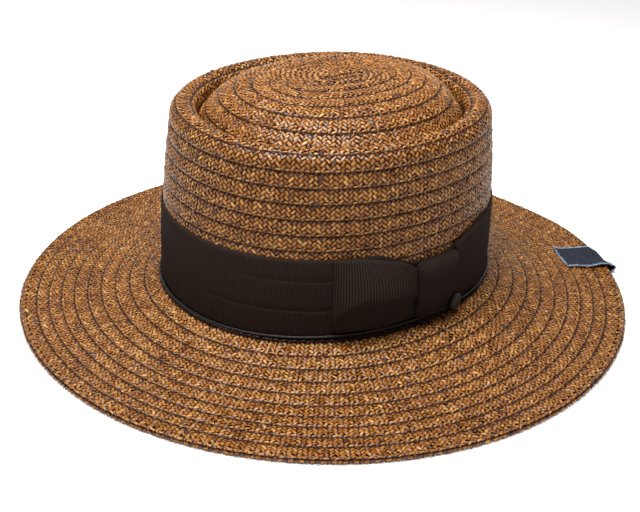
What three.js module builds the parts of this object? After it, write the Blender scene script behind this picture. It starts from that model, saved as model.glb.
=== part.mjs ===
// A braided straw hat with a turned-down brim, a dark ribbon and a flat bow.
// Millimetres, +Z up. The front of the hat faces -Y and the wearer's left is +X.
// The origin is the middle of the brim's foot, on the surface that the hat rests on.

import * as THREE from 'three';

// Straw and the rows of the plait
const STRAW = 2.0; // wall of lapped plait
const ROW_LIFT = 0.9; // how far a row's free edge stands over the next row
const ROW_RUN = 0.5; // width of the step at that edge
const TIP_STEP = 9.9; // plait that shows in each row, on the tip
const WALL_STEP = 8.6; // the same on the crown's wall
const BRIM_STEP = 9.0; // the same on the brim
const CLEARANCE = 0.3; // gap between pieces that touch
const AROUND = 56; // facets round the hat

// Crown
const CROWN_HALF_WIDTH = 89.6; // at its foot, outside
const CROWN_HALF_LENGTH = 100.3;
const CROWN_BULGE = 2.0; // how far the wall swells at half its height
const TOP_HALF_WIDTH = 87.8; // at the rim, outside
const TOP_HALF_LENGTH = 93.4;
const CROWN_SQUARENESS = 2.09; // 2 is an ellipse
const FOOT_HEIGHT = 16.2; // where the crown stands on the brim
const RIM_HEIGHT = 122.5; // crest of the rolled rim
const RIM_RADIUS = 6.45;
const RIM_SEAM_DROP = 8.5; // first seam on the wall, below the crest
const GROOVE_DEPTH = 10.0; // below the crest, inside the rim
const GROOVE_WIDTH = 3.2;
const GROOVE_FLOOR = 0.7; // where its floor lies, as a share of its width from the tip's side
const TIP_HEIGHT = 133.0; // middle of the domed tip
const TIP_SLIT = 34.0; // the plait starts along a line of this length
const TIP_EYE = 3.0; // half width of the first turn beside that line
const TIP_SHIFT = 6.0; // the start lies this far behind the middle
const TIP_FALL = 3.8; // exponent: nearly level in the middle, steep at the groove
const CROWN_PITCH = 0.022; // rise of the crown towards the back, for each millimetre

// Brim
const BRIM_HALF_WIDTH = 182.9;
const BRIM_HALF_LENGTH = 186.2;
const BRIM_FALL = 2.4; // exponent: steep at the crown, level at the edge
const EDGE_ROW = 12.9; // the last row is laid double
const EDGE_FOLD = 4.0; // its fold, in from the edge
const FOOT_BAND = 12.0; // width of the flat ring that touches the ground
const EDGE_ROUND = 0.9;

// Ribbon and bow
const RIBBON_TOP = 65.5;
const RIBBON_RISE = 1.0; // its lower edge, above the crown's foot
const RIBBON_THICKNESS = 1.0;
const PINCH_DEPTH = 9.0; // how far the knot draws the ribbon's upper edge down
const PINCH_START = [70, 89]; // degrees: the edge falls within the first pair and rises within the second
const PINCH_END = [98, 122];
const PLEAT_DEPTH = 0.7;
const PLEAT_WIDTH = 2.4;
const KNOT_AZIMUTH = 96; // degrees from the front, to the wearer's left
const KNOT_WIDTH = 28;
const KNOT_PROUD = 6.5;
const LOOP_LENGTH = 48;
const LOOP_PROUD = 8.0;
const LOOP_HEM = 0.6; // thickness of the loop's ribbon at its upper and lower folds
const TAIL_LENGTH = 40;
const TAIL_THICKNESS = 1.2;

// Guard cord and its button
const CORD_DIAMETER = 1.4;
const CORD_RISE = 2.8; // above the crown's foot
const CORD_WAVE = 1.0; // it is lifted at the sides and lower at front and back
const BUTTON_DIAMETER = 9.0;
const BUTTON_THICKNESS = 3.4;
const BUTTON_AZIMUTH = 105.6;
const BUTTON_HEIGHT = 23.0;

// Denim tab, folded over the brim's edge
const TAB_AZIMUTH = 157.3;
const TAB_WIDTH = 23;
const TAB_ON_TOP = 29;
const TAB_BELOW = 14;
const TAB_THICKNESS = 1.0;
const TAB_FOLD = 0.5; // how far the folded cloth stands off the brim's edge
const TAB_LIFT = 1.9; // the brim's edge is raised here
const TAB_LIFT_SPREAD = [10, 30]; // degrees: raised fully within the first, not at all past the second

// Tables of folds, as shares of the sizes above. A share of height is measured up the ribbon.
const PLEATS = [
  // height, start (degrees from the front)
  { height: 0.73, start: 12 },
  { height: 0.36, start: -6 },
];
const LOOP_SECTIONS = [
  // along, top, bottom, ridge, proud
  { along: 0.0, top: 1.01, bottom: 0.13, ridge: 0.22, proud: 0.24 },
  { along: 0.11, top: 1.01, bottom: 0.11, ridge: 0.35, proud: 0.62 },
  { along: 0.28, top: 1.0, bottom: 0.11, ridge: 0.49, proud: 0.9 },
  { along: 0.46, top: 0.97, bottom: 0.11, ridge: 0.52, proud: 1.0 },
  { along: 0.64, top: 0.92, bottom: 0.11, ridge: 0.5, proud: 0.95 },
  { along: 0.82, top: 0.86, bottom: 0.12, ridge: 0.46, proud: 0.78 },
  { along: 1.0, top: 0.75, bottom: 0.14, ridge: 0.43, proud: 0.5 },
];
const KNOT_SECTIONS = [
  // along, top, bottom, proud
  { along: 0.0, top: 0.79, bottom: 0.13, proud: 0.62 },
  { along: 0.1, top: 0.81, bottom: 0.11, proud: 0.92 },
  { along: 0.45, top: 0.82, bottom: 0.11, proud: 1.0 },
  { along: 0.72, top: 0.82, bottom: 0.13, proud: 1.0 },
  { along: 0.92, top: 0.82, bottom: 0.27, proud: 0.92 },
  { along: 1.0, top: 0.8, bottom: 0.31, proud: 0.6 },
];
const TAIL_SECTIONS = [
  // along, top, bottom
  { along: 0.0, top: 0.86, bottom: 0.21 },
  { along: 0.3, top: 0.96, bottom: 0.15 },
  { along: 0.6, top: 1.0, bottom: 0.12 },
  { along: 0.88, top: 1.0, bottom: 0.14 },
  { along: 1.0, top: 1.0, bottom: 0.4 },
];

const mix = (a, b, share) => a + (b - a) * share;
const radians = THREE.MathUtils.degToRad;
const smooth = THREE.MathUtils.smoothstep;

// A point on an oval. The azimuth runs from the front towards the wearer's left.
function onOval(azimuth, halfWidth, halfLength, squareness) {
  const across = Math.sin(azimuth);
  const along = -Math.cos(azimuth);
  const sum = Math.abs(across / halfWidth) ** squareness + Math.abs(along / halfLength) ** squareness;
  const reach = sum ** (-1 / squareness);
  return { x: reach * across, y: reach * along };
}

function ringOf(place) {
  const points = [];
  for (let i = 0; i < AROUND; i += 1) {
    points.push(place((i / AROUND) * 2 * Math.PI));
  }
  return points;
}

// Joins closed sections of equal count into one closed body.
function loft(sections, wraps) {
  const count = sections[0].length;
  const points = sections.flat();
  const faces = [];
  const spans = wraps ? sections.length : sections.length - 1;
  for (let i = 0; i < spans; i += 1) {
    const here = i * count;
    const next = ((i + 1) % sections.length) * count;
    for (let j = 0; j < count; j += 1) {
      const k = (j + 1) % count;
      faces.push([here + j, next + j, next + k], [here + j, next + k, here + k]);
    }
  }
  if (!wraps) {
    for (const [section, turned] of [[0, false], [sections.length - 1, true]]) {
      const first = section * count;
      const middle = points.length;
      const sum = sections[section].reduce((a, p) => a.map((v, axis) => v + p[axis]), [0, 0, 0]);
      points.push(sum.map((v) => v / count));
      for (let j = 0; j < count; j += 1) {
        const pair = [first + j, first + ((j + 1) % count)];
        faces.push(turned ? [middle, pair[1], pair[0]] : [middle, pair[0], pair[1]]);
      }
    }
  }
  return body(points, faces);
}

// A geometry whose faces point out of the body.
function body(points, faces) {
  let volume = 0;
  const vector = (i) => new THREE.Vector3(...points[i]);
  for (const [a, b, c] of faces) {
    volume += vector(a).dot(vector(b).cross(vector(c)));
  }
  const index = faces.flatMap((face) => (volume < 0 ? [face[0], face[2], face[1]] : face));
  const geometry = new THREE.BufferGeometry();
  geometry.setAttribute('position', new THREE.Float32BufferAttribute(points.flat(), 3));
  geometry.setIndex(index);
  geometry.computeVertexNormals();
  return geometry;
}

// Outside of the crown's wall at a height.
function wallSize(height) {
  const share = (height - FOOT_HEIGHT) / (RIM_HEIGHT - RIM_RADIUS - FOOT_HEIGHT);
  const swell = CROWN_BULGE * 4 * share * (1 - share);
  return {
    halfWidth: mix(CROWN_HALF_WIDTH, TOP_HALF_WIDTH, share) + swell,
    halfLength: mix(CROWN_HALF_LENGTH, TOP_HALF_LENGTH, share) + swell,
  };
}

// A place on or near the crown's wall: out is the distance outside it.
function atWall(azimuth, height, out) {
  const size = wallSize(height);
  const p = onOval(azimuth, size.halfWidth + out, size.halfLength + out, CROWN_SQUARENESS);
  return [p.x, p.y, height + CROWN_PITCH * p.y];
}

// Crown

const TIP_INSET = 2 * RIM_RADIUS + GROOVE_WIDTH;
const TIP_HALF_WIDTH = TOP_HALF_WIDTH - TIP_INSET;
const TIP_HALF_LENGTH = TOP_HALF_LENGTH - TIP_INSET;
const GROOVE_HEIGHT = RIM_HEIGHT - GROOVE_DEPTH;

// Stations of the profile hold the oval's size, its height and its shift to the back.
function tipStation(share, lift) {
  const depth = TIP_HEIGHT - GROOVE_HEIGHT;
  const slope = Math.atan((TIP_FALL * depth * share ** (TIP_FALL - 1)) / TIP_HALF_WIDTH);
  return {
    halfWidth: TIP_HALF_WIDTH * share + lift * Math.sin(slope),
    halfLength: mix(TIP_SLIT / 2, TIP_HALF_LENGTH, share) + lift * Math.sin(slope),
    height: TIP_HEIGHT - depth * share ** TIP_FALL + lift * Math.cos(slope),
    shift: TIP_SHIFT * (1 - share),
  };
}

function rimStation(angle, lift) {
  const inset = RIM_RADIUS - (RIM_RADIUS + lift) * Math.cos(angle);
  return {
    halfWidth: TOP_HALF_WIDTH - inset,
    halfLength: TOP_HALF_LENGTH - inset,
    height: RIM_HEIGHT - RIM_RADIUS + (RIM_RADIUS + lift) * Math.sin(angle),
    shift: 0,
  };
}

function grooveStation(drop) {
  const inset = TIP_INSET - GROOVE_WIDTH * GROOVE_FLOOR;
  return {
    halfWidth: TOP_HALF_WIDTH - inset,
    halfLength: TOP_HALF_LENGTH - inset,
    height: GROOVE_HEIGHT - drop,
    shift: 0,
  };
}

function wallStation(height, lift) {
  const size = wallSize(height);
  return { halfWidth: size.halfWidth + lift, halfLength: size.halfLength + lift, height, shift: 0 };
}

function crownOutside() {
  const stations = [];
  const rows = Math.round(TIP_HALF_WIDTH / TIP_STEP);
  for (let row = 0; row < rows; row += 1) {
    const start = row / rows;
    stations.push(tipStation(start + (row ? ROW_RUN : TIP_EYE) / TIP_HALF_WIDTH, 0));
    stations.push(tipStation((row + 1) / rows, row + 1 < rows ? ROW_LIFT : 0));
  }
  stations.push(grooveStation(0));
  const seam = (WALL_STEP - (RIM_SEAM_DROP - RIM_RADIUS)) / RIM_RADIUS;
  const turn = WALL_STEP / RIM_RADIUS;
  const run = ROW_RUN / RIM_RADIUS;
  stations.push(rimStation(Math.PI, 0.5 * ROW_LIFT));
  stations.push(rimStation(seam + turn, ROW_LIFT));
  stations.push(rimStation(seam + turn - run, 0));
  stations.push(rimStation(seam + turn / 2, 0.5 * ROW_LIFT));
  stations.push(rimStation(seam, ROW_LIFT));
  stations.push(rimStation(seam - run, 0));
  stations.push(rimStation(seam / 3, 0.5 * ROW_LIFT));
  for (let height = RIM_HEIGHT - RIM_SEAM_DROP; height > RIBBON_TOP - WALL_STEP; height -= WALL_STEP) {
    stations.push(wallStation(height, ROW_LIFT));
    stations.push(wallStation(height - ROW_RUN, 0));
  }
  stations.push(wallStation(FOOT_HEIGHT, 0));
  return stations;
}

function crownInside() {
  const under = (station) => ({ ...station, height: station.height - STRAW });
  const mid = mix(FOOT_HEIGHT, RIM_HEIGHT, 0.5);
  const wall = [FOOT_HEIGHT, mid].map((height) => wallStation(height, -STRAW));
  const rim = [0, Math.PI / 4, Math.PI / 2, (3 * Math.PI) / 4].map((angle) => rimStation(angle, -STRAW));
  const groove = grooveStation(STRAW);
  const grooveIn = { ...groove, halfWidth: groove.halfWidth + STRAW / 2, halfLength: groove.halfLength + STRAW / 2 };
  const tip = [0.95, 0.8, 0.6, 0.35, 0.1].map((share) => under(tipStation(share, 0)));
  return [...wall, ...rim, grooveIn, ...tip];
}

function crownRing(station) {
  return ringOf((azimuth) => {
    const p = onOval(azimuth, station.halfWidth, station.halfLength, CROWN_SQUARENESS);
    return [p.x, p.y + station.shift, station.height + CROWN_PITCH * p.y];
  });
}

function crown() {
  return loft([...crownOutside(), ...crownInside()].map(crownRing), false);
}

// Brim

const BRIM_REACH = BRIM_HALF_WIDTH - CROWN_HALF_WIDTH;

// The edge is raised where the tab passes under it.
function tabRaise(azimuth, share) {
  const away = Math.abs(azimuth - radians(TAB_AZIMUTH));
  const [full, none] = TAB_LIFT_SPREAD.map(radians);
  return TAB_LIFT * (1 - smooth(away, full, none)) * smooth(share, 0.45, 0.8);
}

// Share 0 is the crown's foot and 1 the brim's edge.
function atBrim(azimuth, share, up) {
  const inner = onOval(azimuth, CROWN_HALF_WIDTH, CROWN_HALF_LENGTH, CROWN_SQUARENESS);
  const outer = onOval(azimuth, BRIM_HALF_WIDTH, BRIM_HALF_LENGTH, 2);
  const fall = Math.max(1 - share, 0) ** BRIM_FALL;
  const foot = FOOT_HEIGHT - CLEARANCE - STRAW + CROWN_PITCH * inner.y;
  return [
    mix(inner.x, outer.x, share),
    mix(inner.y, outer.y, share),
    foot * fall + tabRaise(azimuth, share) + up,
  ];
}

function brim() {
  const ring = (share, up) => ringOf((azimuth) => atBrim(azimuth, share, up));
  const shareOf = (fromEdge) => 1 - fromEdge / BRIM_REACH;
  const throat = (up) => ringOf((azimuth) => {
    const size = wallSize(FOOT_HEIGHT);
    const p = onOval(azimuth, size.halfWidth - STRAW, size.halfLength - STRAW, CROWN_SQUARENESS);
    return [p.x, p.y, FOOT_HEIGHT - CLEARANCE - STRAW + CROWN_PITCH * p.y + up];
  });
  const seams = [];
  for (let fromEdge = EDGE_ROW; fromEdge < BRIM_REACH - ROW_RUN; fromEdge += BRIM_STEP) {
    seams.unshift(fromEdge);
  }
  const rings = [throat(STRAW), ring(0, STRAW)];
  for (const fromEdge of [...seams, EDGE_FOLD]) {
    rings.push(ring(shareOf(fromEdge), STRAW + ROW_LIFT));
    rings.push(ring(shareOf(fromEdge - ROW_RUN), STRAW));
  }
  rings.push(ring(shareOf(EDGE_ROUND), STRAW + ROW_LIFT));
  rings.push(ring(1, STRAW));
  rings.push(ring(1, EDGE_ROUND));
  rings.push(ringOf((azimuth) => {
    const p = atBrim(azimuth, shareOf(EDGE_ROUND), 0);
    return [p[0], p[1], tabRaise(azimuth, 1)];
  }));
  rings.push(ringOf((azimuth) => {
    const p = atBrim(azimuth, shareOf(FOOT_BAND), 0);
    return [p[0], p[1], tabRaise(azimuth, 1)];
  }));
  for (const share of [0.7, 0.5, 0.3, 0.12]) {
    rings.push(ring(share, 0));
  }
  rings.push(throat(0));
  return loft(rings, true);
}

// Ribbon

const RIBBON_FOOT = FOOT_HEIGHT + RIBBON_RISE;
const ribbonHeight = (share) => mix(RIBBON_FOOT, RIBBON_TOP, share);
const BAND_IN = ROW_LIFT + CLEARANCE;
const BAND_OUT = BAND_IN + RIBBON_THICKNESS;
const BOW_IN = BAND_OUT + CLEARANCE;
const TAIL_IN = BOW_IN + CLEARANCE;
const KNOT_PLACE = atWall(radians(KNOT_AZIMUTH), ribbonHeight(0.5), BAND_OUT);
const BOW_RADIUS = Math.hypot(KNOT_PLACE[0], KNOT_PLACE[1]);
const KNOT_START = radians(KNOT_AZIMUTH) - KNOT_WIDTH / 2 / BOW_RADIUS;
const KNOT_END = radians(KNOT_AZIMUTH) + KNOT_WIDTH / 2 / BOW_RADIUS;
const SIDE_GAP = CLEARANCE / BOW_RADIUS;

// The pleats run into the bow and fade towards the front of the hat.
function pleatDepth(azimuth, start) {
  const ahead = azimuth > Math.PI ? azimuth - 2 * Math.PI : azimuth;
  const shown = smooth(ahead, radians(start), KNOT_START);
  const behind = smooth(ahead, KNOT_END, KNOT_END + radians(25));
  return PLEAT_DEPTH * shown * (1 - behind);
}

// The ribbon's upper edge, drawn down beside and behind the knot.
function ribbonEdge(azimuth) {
  const drawn = smooth(azimuth, ...PINCH_START.map(radians)) * (1 - smooth(azimuth, ...PINCH_END.map(radians)));
  return RIBBON_TOP - PINCH_DEPTH * drawn;
}

function ribbonBand() {
  const width = PLEAT_WIDTH / (RIBBON_TOP - RIBBON_FOOT);
  const ring = (share, out) => ringOf((azimuth) => atWall(azimuth, ribbonHeight(share), out(azimuth)));
  const edge = (out) => ringOf((azimuth) => atWall(azimuth, ribbonEdge(azimuth), out));
  const rings = [edge(BAND_IN), edge(BAND_OUT)];
  for (const pleat of PLEATS) {
    const depth = (azimuth) => pleatDepth(azimuth, pleat.start);
    rings.push(ring(pleat.height + width, () => BAND_OUT));
    rings.push(ring(pleat.height, (azimuth) => BAND_OUT - depth(azimuth)));
    rings.push(ring(pleat.height - width / 2, () => BAND_OUT));
  }
  rings.push(ring(0, () => BAND_OUT), ring(0, () => BAND_IN));
  return loft(rings, true);
}

// Bow

function bowLoop() {
  const end = KNOT_START - SIDE_GAP;
  const start = end - LOOP_LENGTH / BOW_RADIUS;
  return loft(LOOP_SECTIONS.map((row) => {
    const azimuth = mix(start, end, row.along);
    const out = LOOP_PROUD * row.proud;
    const outline = [
      [row.bottom, 0],
      [mix(row.bottom, row.top, 0.5), 0],
      [row.top, 0],
      [row.top, 0.22 * out + LOOP_HEM],
      [mix(row.ridge, row.top, 0.55), 0.72 * out],
      [mix(row.ridge, row.top, 0.15), 0.97 * out],
      [row.ridge, out],
      [mix(row.ridge, row.bottom, 0.35), 0.8 * out],
      [row.bottom, 0.3 * out + LOOP_HEM],
    ];
    return outline.map(([share, proud]) => atWall(azimuth, ribbonHeight(share), BOW_IN + proud));
  }), false);
}

function bowKnot() {
  return loft(KNOT_SECTIONS.map((row) => {
    const azimuth = mix(KNOT_START, KNOT_END, row.along);
    const out = KNOT_PROUD * row.proud;
    const outline = [
      [row.bottom, 0],
      [mix(row.bottom, row.top, 0.5), 0],
      [row.top, 0],
      [row.top, 0.45 * out],
      [mix(row.top, row.bottom, 0.05), 0.8 * out],
      [mix(row.top, row.bottom, 0.17), out],
      [mix(row.top, row.bottom, 0.75), 0.95 * out],
      [row.bottom, 0.6 * out],
    ];
    return outline.map(([share, proud]) => atWall(azimuth, ribbonHeight(share), BOW_IN + proud));
  }), false);
}

function bowTail() {
  const start = KNOT_END + SIDE_GAP;
  return loft(TAIL_SECTIONS.map((row) => {
    const azimuth = start + (TAIL_LENGTH / BOW_RADIUS) * row.along;
    const middle = mix(row.bottom, row.top, 0.5);
    const outline = [
      [row.bottom, 0],
      [middle, 0],
      [row.top, 0],
      [row.top, TAIL_THICKNESS],
      [middle, TAIL_THICKNESS],
      [row.bottom, TAIL_THICKNESS],
    ];
    return outline.map(([share, proud]) => atWall(azimuth, ribbonHeight(share), TAIL_IN + proud));
  }), false);
}

// Guard cord and button

const CORD_RADIUS = CORD_DIAMETER / 2;
const CORD_OUT = BAND_OUT + CLEARANCE + CORD_RADIUS;

function guardCord() {
  const sides = 6;
  const rings = [];
  for (let side = 0; side < sides; side += 1) {
    const turn = (side / sides) * 2 * Math.PI;
    rings.push(ringOf((azimuth) => {
      const height = FOOT_HEIGHT + CORD_RISE - CORD_WAVE * Math.cos(2 * azimuth);
      return atWall(azimuth, height - CORD_RADIUS * Math.sin(turn), CORD_OUT + CORD_RADIUS * Math.cos(turn));
    }));
  }
  return loft(rings, true);
}

// A round button, turned about its own axis, with a soft edge.
function buttonGeometry() {
  const radius = BUTTON_DIAMETER / 2;
  const half = BUTTON_THICKNESS / 2;
  const profile = [
    new THREE.Vector2(0, -half),
    new THREE.Vector2(0.8 * radius, -half),
    new THREE.Vector2(radius, -0.4 * half),
    new THREE.Vector2(radius, 0.3 * half),
    new THREE.Vector2(0.75 * radius, 0.9 * half),
    new THREE.Vector2(0, half),
  ];
  return new THREE.LatheGeometry(profile, 14);
}

// Denim tab

function denimTab() {
  const middle = radians(TAB_AZIMUTH);
  const edge = atBrim(middle, 1, 0);
  const foot = atBrim(middle, 0, 0);
  const reach = Math.hypot(edge[0], edge[1]) - Math.hypot(foot[0], foot[1]);
  const top = STRAW + ROW_LIFT + CLEARANCE;
  const over = (distance, up, out) => ({ share: 1 - distance / reach, up, out });
  // The path of the cloth's inner face, and the side that its thickness grows to.
  const path = [
    over(TAB_ON_TOP, top, [0, 1]),
    over(TAB_ON_TOP * 0.66, top, [0, 1]),
    over(TAB_ON_TOP * 0.33, top, [0, 1]),
    over(EDGE_ROUND, top, [0, 1]),
    over(-TAB_FOLD, STRAW, [0.9, 0.4]),
    over(-TAB_FOLD, TAB_FOLD, [0.9, -0.4]),
    over(EDGE_ROUND, -CLEARANCE, [0, -1]),
    over(TAB_BELOW * 0.5, -CLEARANCE, [0, -1]),
    over(TAB_BELOW, -CLEARANCE, [0, -1]),
  ];
  const sections = path.map(({ share, up, out }) => {
    const corner = (side, thick) => {
      const radius = Math.hypot(foot[0], foot[1]) + reach * share;
      const azimuth = middle + (side * TAB_WIDTH) / 2 / radius;
      const p = atBrim(azimuth, share, up + thick * out[1] * TAB_THICKNESS);
      const push = thick * out[0] * TAB_THICKNESS;
      return [p[0] + push * Math.sin(azimuth), p[1] - push * Math.cos(azimuth), p[2]];
    };
    return [corner(-1, 0), corner(1, 0), corner(1, 1), corner(-1, 1)];
  });
  return loft(sections, false);
}

// The assembly

const strawColour = { color: 0x9c6a38, roughness: 0.62, metalness: 0 };
const ribbonColour = { color: 0x2b221f, roughness: 0.8, metalness: 0 };

function piece(name, geometry, finish) {
  const mesh = new THREE.Mesh(geometry, new THREE.MeshStandardMaterial(finish));
  mesh.name = name;
  return mesh;
}

const hat = new THREE.Group();
hat.add(piece('crown', crown(), strawColour));
hat.add(piece('brim', brim(), strawColour));
hat.add(piece('ribbon_band', ribbonBand(), ribbonColour));
hat.add(piece('bow_loop', bowLoop(), ribbonColour));
hat.add(piece('bow_knot', bowKnot(), ribbonColour));
hat.add(piece('bow_tail', bowTail(), ribbonColour));
hat.add(piece('guard_cord', guardCord(), { color: 0x151313, roughness: 0.45, metalness: 0 }));
hat.add(piece('denim_tab', denimTab(), { color: 0x28303f, roughness: 0.9, metalness: 0 }));

const button = piece('wind_button', buttonGeometry(), { color: 0x4c423b, roughness: 0.5, metalness: 0 });
const buttonOut = CORD_OUT + CORD_RADIUS + CLEARANCE + BUTTON_THICKNESS / 2;
const buttonPlace = atWall(radians(BUTTON_AZIMUTH), BUTTON_HEIGHT, buttonOut);
button.position.set(...buttonPlace);
button.rotation.set(0, 0, radians(BUTTON_AZIMUTH) - Math.PI);
hat.add(button);

export default hat;
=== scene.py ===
# A braided straw hat with a turned-down brim. It has a dark ribbon with a flat bow, a guard
# cord with its button, and a folded denim tab. It stands on a plain pale floor.

import math
from functools import partial

import bpy
import numpy as np
from mathutils import Matrix, Vector


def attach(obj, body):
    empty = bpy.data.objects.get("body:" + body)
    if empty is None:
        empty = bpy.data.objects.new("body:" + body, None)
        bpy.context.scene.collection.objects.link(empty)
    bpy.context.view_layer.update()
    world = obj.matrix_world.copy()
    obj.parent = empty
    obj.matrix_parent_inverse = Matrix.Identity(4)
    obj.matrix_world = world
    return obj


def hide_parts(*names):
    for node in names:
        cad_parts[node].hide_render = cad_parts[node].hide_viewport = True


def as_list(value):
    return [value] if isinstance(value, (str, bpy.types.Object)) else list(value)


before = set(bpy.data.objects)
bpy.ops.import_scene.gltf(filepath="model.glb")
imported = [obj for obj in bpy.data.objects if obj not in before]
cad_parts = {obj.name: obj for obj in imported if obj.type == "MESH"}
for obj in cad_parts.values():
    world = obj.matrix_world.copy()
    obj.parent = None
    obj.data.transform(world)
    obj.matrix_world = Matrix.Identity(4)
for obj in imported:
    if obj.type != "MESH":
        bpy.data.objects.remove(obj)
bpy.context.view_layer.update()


# The floor, the light and the camera.
# The hat is seen from its front left, from a little above. The light comes from a pale surround,
# brightest behind the hat, and from a large soft lamp over the tip that gives the straw its shine.

LOOK_AT = Vector((0, 0, 0.051))
CAMERA_AZIMUTH = math.radians(54.98)
CAMERA_ELEVATION = math.radians(24.57)
CAMERA_DISTANCE = 0.6589
CAMERA_ROLL = math.radians(2.23)
FOCAL_LENGTH = 60.42
BACKDROP_GLOW = 1.05
FRONT_GLOW = 0.21
OVERHEAD_GLOW = 0.14
BACKDROP_EDGE = (0.1, 0.9)
OVERHEAD_EDGE = (0.3, 0.75)
FLOOR_COLOUR = (0.93, 0.93, 0.93, 1)


def towards(azimuth, elevation):
    level = math.cos(elevation)
    return Vector((math.sin(azimuth) * level, -math.cos(azimuth) * level, math.sin(elevation)))


def add_object(name, data):
    item = bpy.data.objects.new(name, data)
    bpy.context.collection.objects.link(item)
    return item


back = towards(CAMERA_AZIMUTH, CAMERA_ELEVATION)
level_right = Vector((0, 0, 1)).cross(back).normalized()
level_up = back.cross(level_right)
right = level_right * math.cos(CAMERA_ROLL) + level_up * math.sin(CAMERA_ROLL)
up = level_up * math.cos(CAMERA_ROLL) - level_right * math.sin(CAMERA_ROLL)

lens = bpy.data.cameras.new("camera")
lens.lens = FOCAL_LENGTH
lens.sensor_width = 36
lens.shift_x = -0.012
lens.shift_y = -0.0756
lens.clip_start = 0.01
camera = add_object("camera", lens)
turned = Matrix((right, up, back)).transposed().to_4x4()
camera.matrix_world = Matrix.Translation(LOOK_AT + back * CAMERA_DISTANCE) @ turned
bpy.context.scene.camera = camera


def soft_lamp(name, azimuth, elevation, distance, size, power, colour=(1, 1, 1)):
    lamp = bpy.data.lights.new(name, "AREA")
    lamp.size = size
    lamp.energy = power
    lamp.color = colour
    holder = add_object(name, lamp)
    place = towards(math.radians(azimuth), math.radians(elevation))
    holder.location = LOOK_AT + place * distance
    holder.rotation_euler = place.to_track_quat("Z", "Y").to_euler()


soft_lamp("lamp_overhead", 33, 76, distance=0.8, size=0.42, power=12.5, colour=(1.0, 0.98, 0.95))
soft_lamp("lamp_left", -25, 38, distance=1.5, size=0.9, power=1.5)


# Sockets, by name or number, take plain values or the outputs of other nodes.
def set_sockets(tree, node, sockets):
    for label, value in sockets.items():
        if isinstance(value, bpy.types.NodeSocket):
            tree.links.new(value, node.inputs[label])
        else:
            node.inputs[label].default_value = value


def add_node(tree, kind, sockets=None, **settings):
    node = tree.nodes.new(kind)
    for label, value in settings.items():
        setattr(node, label, value)
    set_sockets(tree, node, sockets or {})
    return node


def map_range(tree, value, ends, onto=(0, 1), kind="SMOOTHSTEP"):
    labels = ("From Min", "From Max", "To Min", "To Max")
    sockets = dict(zip(labels, (*ends, *onto)), Value=value)
    return add_node(tree, "ShaderNodeMapRange", sockets, interpolation_type=kind).outputs["Result"]


def new_material(name):
    material = bpy.data.materials.new(name)
    material.use_nodes = True
    return material, material.node_tree


def set_shader(tree, sockets):
    set_sockets(tree, tree.nodes["Principled BSDF"], sockets)


surround = bpy.data.worlds.new("pale_surround")
surround.use_nodes = True
tree = surround.node_tree
direction = add_node(tree, "ShaderNodeTexCoord").outputs["Generated"]
height = add_node(tree, "ShaderNodeSeparateXYZ", {"Vector": direction}).outputs["Z"]
facing = {0: direction, 1: -towards(CAMERA_AZIMUTH, 0)}
away = add_node(tree, "ShaderNodeVectorMath", facing, operation="DOT_PRODUCT").outputs["Value"]
backdrop = map_range(tree, away, BACKDROP_EDGE, (FRONT_GLOW, BACKDROP_GLOW))
strength = map_range(tree, height, OVERHEAD_EDGE, (backdrop, OVERHEAD_GLOW))
set_sockets(tree, tree.nodes["Background"], {"Color": (1, 1, 1, 1), "Strength": strength})
bpy.context.scene.world = surround
bpy.context.scene.view_settings.view_transform = "Standard"

pale_floor, tree = new_material("pale_floor")
set_shader(tree, {
    "Base Color": FLOOR_COLOUR,
    "Roughness": 0.9,
    "Emission Color": (1, 1, 1, 1),
    "Emission Strength": 0.35,
})
floor_mesh = bpy.data.meshes.new("floor")
floor_mesh.from_pydata([(-4, -4, 0), (4, -4, 0), (4, 4, 0), (-4, 4, 0)], [], [(0, 1, 2, 3)])
floor_mesh.materials.append(pale_floor)
floor = add_object("floor", floor_mesh)


# The crown.
# A flat plait of toyo straw is sewn in one long spiral: from a slit in the middle of the tip,
# over a rolled rim, and down the wall. Each row laps over the next, and its free edge stands proud.
# Lengths from here on are in millimetres, and azimuths run from the front to the wearer's left.

STRAW = 2.0
WEAVE_DEPTH = 0.35
ROW_LIFT = 0.9
ROW_CROWN = 0.35
CROWN_HALF_WIDTH = 89.6
CROWN_HALF_LENGTH = 100.3
CROWN_BULGE = 2.0
TOP_HALF_WIDTH = 87.8
TOP_HALF_LENGTH = 93.4
CROWN_SQUARENESS = 2.09
CROWN_PITCH = 0.022
FOOT_HEIGHT = 16.2
RIM_HEIGHT = 122.5
RIM_RADIUS = 6.45
GROOVE_DEPTH = 10.0
GROOVE_INSET = 13.86
TIP_INSET = 16.1
TIP_HEIGHT = 133.0
TIP_SLIT = 34.0
TIP_SHIFT = 6.0
TIP_FALL = 5.5
TIP_EYE = 2.4
TIP_ROWS = 7
TIP_PHASE = 0.2
RIBBON_TOP = 65.5
RIM_ROW = 8.75
RIM_FIRST = 8.3
# how far from the groove floor and the inner end of the wall's inside the floats get painted shade
RIM_SHADE = 1.8
SPIRAL_START = math.radians(-125)

# One crossing of the plait, along the row and across it, and the length of a float in crossings.
CROSSING = (1.275, 1.33)
FLOAT_LENGTH = 3.85
FLOAT_WIDTH = 2.05
FLOAT_BULGE = 0.55
DARK_SHARE = 0.015
DARK_EDGE_SHARE = 0.8
TILT_SCATTER = 0.13
TURN_SCATTER = 0.09


def on_oval(azimuth, half_width, half_length, squareness):
    across = np.sin(azimuth)
    along = -np.cos(azimuth)
    total = np.abs(across / half_width) ** squareness + np.abs(along / half_length) ** squareness
    reach = total ** (-1 / squareness)
    return reach * across, reach * along


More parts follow.
